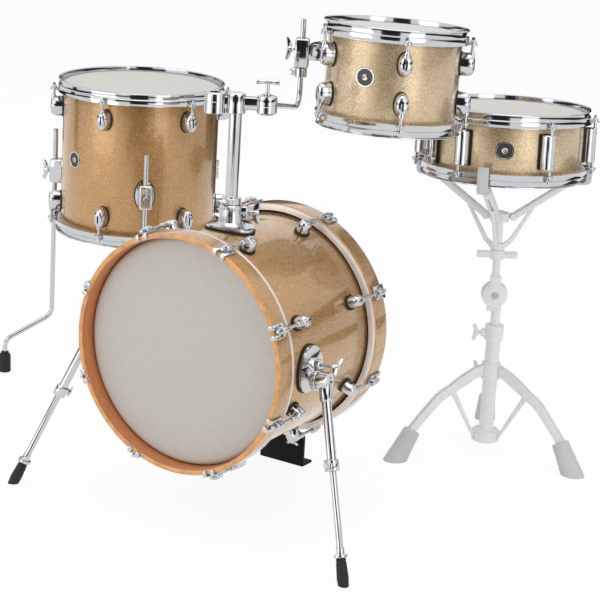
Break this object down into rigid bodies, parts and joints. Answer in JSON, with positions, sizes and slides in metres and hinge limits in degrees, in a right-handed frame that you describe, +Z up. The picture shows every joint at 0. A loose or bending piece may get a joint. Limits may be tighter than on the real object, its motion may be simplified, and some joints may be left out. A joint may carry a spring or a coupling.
{
  "type": "drum kit",
  "caption": "Compact drum kit: bass drum on spurs with a pedal lift, rack tom on a ball arm, floor tom on bent legs and a snare drum in its tripod stand.",
  "frame": {"origin": "middle of the pedal lift's foot on the floor, under the player's side of the bass drum", "axes": "+Z up; +Y from the bass drum's front head to the player; +X to the player's left, toward the rack tom and snare"},
  "size_m": [1.2964, 0.9804, 0.8958],
  "materials": {
    "gold_sparkle_shell": "gold sparkle wrap under clear gloss",
    "pale_sparkle_shell": "pale champagne sparkle wrap under clear gloss",
    "wrapped_wood_hoop": "lacquered wood with a sparkle inlay",
    "drum_film": "coated film",
    "chromed_steel": "bright chrome",
    "black_steel": "black paint",
    "pale_painted_steel": "pale satin"
  },
  "bodies": {
    "kit_base": {"bass_shell": "gold_sparkle_shell", "bass_front_head": "drum_film", "bass_batter_head": "drum_film", "bass_front_hoop": "wrapped_wood_hoop", "bass_batter_hoop": "wrapped_wood_hoop", "left_spur_bracket": "chromed_steel", "right_spur_bracket": "chromed_steel", "tom_holder_base": "chromed_steel", "pedal_lift": "black_steel", "floor_tom_shell": "gold_sparkle_shell", "floor_tom_batter_head": "drum_film", "floor_tom_bottom_head": "drum_film", "floor_tom_batter_hoop": "chromed_steel", "floor_tom_bottom_hoop": "chromed_steel", "stand_tube": "pale_painted_steel", "stand_left_leg": "pale_painted_steel", "stand_right_leg": "pale_painted_steel", "stand_rear_leg": "pale_painted_steel"},
    "right_spur_tube": {"right_spur_tube": "chromed_steel"},
    "right_spur_rod": {"right_spur_rod": "chromed_steel"},
    "right_spur_wing_bolt": {"right_spur_wing_bolt": "chromed_steel"},
    "right_spur_clamp_screw": {"right_spur_clamp_screw": "chromed_steel"},
    "left_spur_tube": {"left_spur_tube": "chromed_steel"},
    "left_spur_rod": {"left_spur_rod": "chromed_steel"},
    "left_spur_wing_bolt": {"left_spur_wing_bolt": "chromed_steel"},
    "left_spur_clamp_screw": {"left_spur_clamp_screw": "chromed_steel"},
    "tom_holder_wing_bolt": {"tom_holder_wing_bolt": "chromed_steel"},
    "tom_holder_post": {"tom_holder_post": "chromed_steel"},
    "tom_holder_block": {"tom_holder_block": "chromed_steel"},
    "tom_holder_t_screw": {"tom_holder_t_screw": "chromed_steel"},
    "tom_arm": {"tom_arm": "chromed_steel"},
    "tom_memory_clamp": {"tom_memory_clamp": "chromed_steel"},
    "rack_tom": {"tom_bracket": "chromed_steel", "rack_tom_shell": "pale_sparkle_shell", "rack_tom_batter_head": "drum_film", "rack_tom_bottom_head": "drum_film", "rack_tom_batter_hoop": "chromed_steel", "rack_tom_bottom_hoop": "chromed_steel"},
    "tom_bracket_wing_bolt": {"tom_bracket_wing_bolt": "chromed_steel"},
    "floor_tom_front_leg": {"floor_tom_front_leg": "chromed_steel"},
    "floor_tom_front_wing_bolt": {"floor_tom_front_wing_bolt": "chromed_steel"},
    "floor_tom_left_leg": {"floor_tom_left_leg": "chromed_steel"},
    "floor_tom_left_wing_bolt": {"floor_tom_left_wing_bolt": "chromed_steel"},
    "floor_tom_rear_leg": {"floor_tom_rear_leg": "chromed_steel"},
    "floor_tom_rear_wing_bolt": {"floor_tom_rear_wing_bolt": "chromed_steel"},
    "stand_upper_tube": {"stand_upper_tube": "pale_painted_steel"},
    "stand_height_wing_screw": {"stand_height_wing_screw": "pale_painted_steel"},
    "snare_and_basket": {"stand_basket_rod": "pale_painted_steel", "snare_shell": "pale_sparkle_shell", "snare_batter_head": "drum_film", "snare_bottom_head": "drum_film", "snare_batter_hoop": "chromed_steel", "snare_bottom_hoop": "chromed_steel", "snare_strainer": "chromed_steel"},
    "snare_throw_off_lever": {"snare_throw_off_lever": "chromed_steel"},
    "stand_basket_crown": {"stand_basket_crown": "pale_painted_steel"},
    "stand_basket_nut": {"stand_basket_nut": "pale_painted_steel"},
    "stand_front_arm": {"stand_front_arm": "pale_painted_steel"},
    "stand_left_arm": {"stand_left_arm": "pale_painted_steel"},
    "stand_right_arm": {"stand_right_arm": "pale_painted_steel"}
  },
  "joints": [
    {"name": "right_spur_fold", "type": "hinge", "parent": "kit_base", "child": "right_spur_tube", "pos_m": [0.2942, -0.3618, 0.318], "axis": [0.9934, 0.0725, 0.0894], "range_deg": [-8, 95]},
    {"name": "right_spur_slide", "type": "slide", "parent": "right_spur_tube", "child": "right_spur_rod", "axis": [0.3315, -0.2561, -0.908], "range_m": [-0.085, 0.025]},
    {"name": "right_spur_bolt_turn", "type": "hinge", "parent": "kit_base", "child": "right_spur_wing_bolt", "pos_m": [0.28008, -0.35283, 0.34123], "axis": [0.9934, 0.0725, 0.0894], "range_deg": [-180, 180]},
    {"name": "right_spur_screw_turn", "type": "hinge", "parent": "right_spur_tube", "child": "right_spur_clamp_screw", "pos_m": [0.34348, -0.41142, 0.1881], "axis": [0.0441, -0.9572, 0.2861], "range_deg": [-180, 180]},
    {"name": "left_spur_fold", "type": "hinge", "parent": "kit_base", "child": "left_spur_tube", "pos_m": [-0.2042, -0.3618, 0.318], "axis": [0.9934, -0.0725, -0.0894], "range_deg": [-8, 95]},
    {"name": "left_spur_slide", "type": "slide", "parent": "left_spur_tube", "child": "left_spur_rod", "axis": [-0.3315, -0.2561, -0.908], "range_m": [-0.085, 0.025]},
    {"name": "left_spur_bolt_turn", "type": "hinge", "parent": "kit_base", "child": "left_spur_wing_bolt", "pos_m": [-0.19008, -0.35283, 0.34123], "axis": [-0.9934, 0.0725, 0.0894], "range_deg": [-180, 180]},
    {"name": "left_spur_screw_turn", "type": "hinge", "parent": "left_spur_tube", "child": "left_spur_clamp_screw", "pos_m": [-0.25238, -0.38749, 0.18094], "axis": [0.0441, 0.9572, -0.2861], "range_deg": [-180, 180]},
    {"name": "holder_bolt_turn", "type": "hinge", "parent": "kit_base", "child": "tom_holder_wing_bolt", "pos_m": [0.07086, -0.28824, 0.5646], "axis": [0.848, 0.5299, 0], "range_deg": [-180, 180]},
    {"name": "post_slide", "type": "slide", "parent": "kit_base", "child": "tom_holder_post", "axis": [0, 0, 1], "range_m": [0, 0.018]},
    {"name": "block_turn", "type": "hinge", "parent": "tom_holder_post", "child": "tom_holder_block", "pos_m": [0.045, -0.3044, 0.7694], "axis": [0, 0, 1], "range_deg": [-25, 0]},
    {"name": "t_screw_turn", "type": "hinge", "parent": "tom_holder_block", "child": "tom_holder_t_screw", "pos_m": [0.0908, -0.27578, 0.7594], "axis": [0, 0, 1], "range_deg": [-180, 180]},
    {"name": "arm_tilt", "type": "hinge", "parent": "tom_holder_block", "child": "tom_arm", "pos_m": [0.0908, -0.27578, 0.7594], "axis": [0.9595, 0.2818, 0], "range_deg": [0, 12]},
    {"name": "memory_clamp_slide", "type": "slide", "parent": "tom_arm", "child": "tom_memory_clamp", "axis": [0, 0, 1], "range_m": [-0.02, 0]},
    {"name": "rack_tom_turn", "type": "hinge", "parent": "tom_arm", "child": "rack_tom", "pos_m": [0.03238, -0.0769, 0.8], "axis": [0, 0, 1], "range_deg": [-34, 0]},
    {"name": "bracket_bolt_turn", "type": "hinge", "parent": "rack_tom", "child": "tom_bracket_wing_bolt", "pos_m": [0.02112, -0.0834, 0.82978], "axis": [-0.866, -0.5, 0], "range_deg": [-180, 180]},
    {"name": "floor_front_leg_slide", "type": "slide", "parent": "kit_base", "child": "floor_tom_front_leg", "axis": [0, 0, 1], "range_m": [-0.04, 0.07]},
    {"name": "floor_front_bolt_turn", "type": "hinge", "parent": "kit_base", "child": "floor_tom_front_wing_bolt", "pos_m": [-0.41193, 0.05992, 0.45], "axis": [0.6593, -0.7518, 0], "range_deg": [-180, 180]},
    {"name": "floor_left_leg_slide", "type": "slide", "parent": "kit_base", "child": "floor_tom_left_leg", "axis": [0, 0, 1], "range_m": [-0.04, 0.07]},
    {"name": "floor_left_bolt_turn", "type": "hinge", "parent": "kit_base", "child": "floor_tom_left_wing_bolt", "pos_m": [-0.72143, 0.13066, 0.45], "axis": [-0.9205, -0.3907, 0], "range_deg": [-180, 180]},
    {"name": "floor_rear_leg_slide", "type": "slide", "parent": "kit_base", "child": "floor_tom_rear_leg", "axis": [0, 0, 1], "range_m": [-0.04, 0.07]},
    {"name": "floor_rear_bolt_turn", "type": "hinge", "parent": "kit_base", "child": "floor_tom_rear_wing_bolt", "pos_m": [-0.47813, 0.3927, 0.45], "axis": [0.3214, 0.9469, 0], "range_deg": [-180, 180]},
    {"name": "stand_height_slide", "type": "slide", "parent": "kit_base", "child": "stand_upper_tube", "axis": [0, 0, 1], "range_m": [-0.028, 0.09]},
    {"name": "stand_height_screw_turn", "type": "hinge", "parent": "kit_base", "child": "stand_height_wing_screw", "pos_m": [0.25805, 0.29875, 0.25], "axis": [-0.866, -0.5, 0], "range_deg": [-180, 180]},
    {"name": "stand_tilt", "type": "hinge", "parent": "stand_upper_tube", "child": "snare_and_basket", "pos_m": [0.28203, 0.29615, 0.33524], "axis": [0.5299, -0.848, 0], "range_deg": [-15, 0]},
    {"name": "snare_lever_turn", "type": "hinge", "parent": "snare_and_basket", "child": "snare_throw_off_lever", "pos_m": [0.17528, 0.16221, 0.62709], "axis": [-0.5516, -0.834, 0.0131], "range_deg": [0, 85]},
    {"name": "basket_crown_slide", "type": "slide", "parent": "snare_and_basket", "child": "stand_basket_crown", "axis": [-0.0364, 0.0397, 0.9985], "range_m": [-0.01, 0]},
    {"name": "basket_nut_turn", "type": "hinge", "parent": "stand_basket_crown", "child": "stand_basket_nut", "pos_m": [0.27941, 0.29901, 0.40713], "axis": [-0.0364, 0.0397, 0.9985], "range_deg": [-180, 180]},
    {"name": "basket_front_arm_open", "type": "hinge", "parent": "snare_and_basket", "child": "stand_front_arm", "pos_m": [0.28272, 0.2767, 0.49326], "axis": [0.9697, 0.2431, 0.0257], "range_deg": [0, 8.6]},
    {"name": "basket_left_arm_open", "type": "hinge", "parent": "snare_and_basket", "child": "stand_left_arm", "pos_m": [0.25009, 0.29866, 0.4912], "axis": [0.1391, -0.9893, 0.0444], "range_deg": [0, 8.6]},
    {"name": "basket_right_arm_open", "type": "hinge", "parent": "snare_and_basket", "child": "stand_right_arm", "pos_m": [0.2966, 0.31943, 0.49207], "axis": [-0.6424, 0.7645, -0.0538], "range_deg": [0, 8.6]}
  ],
  "couplings": [
    {"joint": "basket_front_arm_open", "follows": "basket_crown_slide", "rad_per_m": -15},
    {"joint": "basket_left_arm_open", "follows": "basket_crown_slide", "rad_per_m": -15},
    {"joint": "basket_right_arm_open", "follows": "basket_crown_slide", "rad_per_m": -15}
  ]
}
